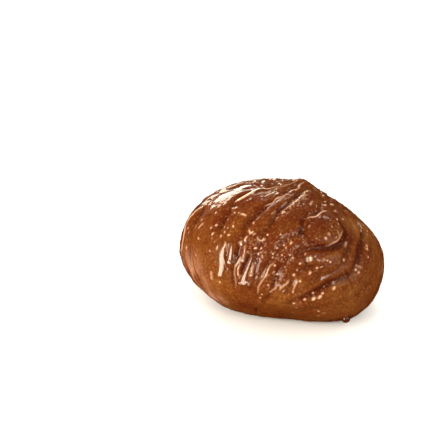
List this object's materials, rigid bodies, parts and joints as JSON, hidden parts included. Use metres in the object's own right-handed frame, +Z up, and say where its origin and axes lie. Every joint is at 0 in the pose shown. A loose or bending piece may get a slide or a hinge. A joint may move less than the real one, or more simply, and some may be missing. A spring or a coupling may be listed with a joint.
{
  "type": "candied chestnut",
  "caption": "Whole peeled chestnut candied in syrup: a glossy brown sweet, deeply furrowed from tip to base, that lies on its flatter underside.",
  "frame": {"origin": "on the resting surface, under the middle of the nut", "axes": "+Z up; +X along the nut's length, to the right seen from the front; the front faces -Y, and the tip is at the upper back"},
  "size_m": [0.041, 0.0318, 0.0249],
  "materials": {
    "glazed_nut": "wet-looking clear sugar glaze over reddish brown flesh"
  },
  "bodies": {
    "root": {"chestnut": "glazed_nut"}
  },
  "joints": []
}
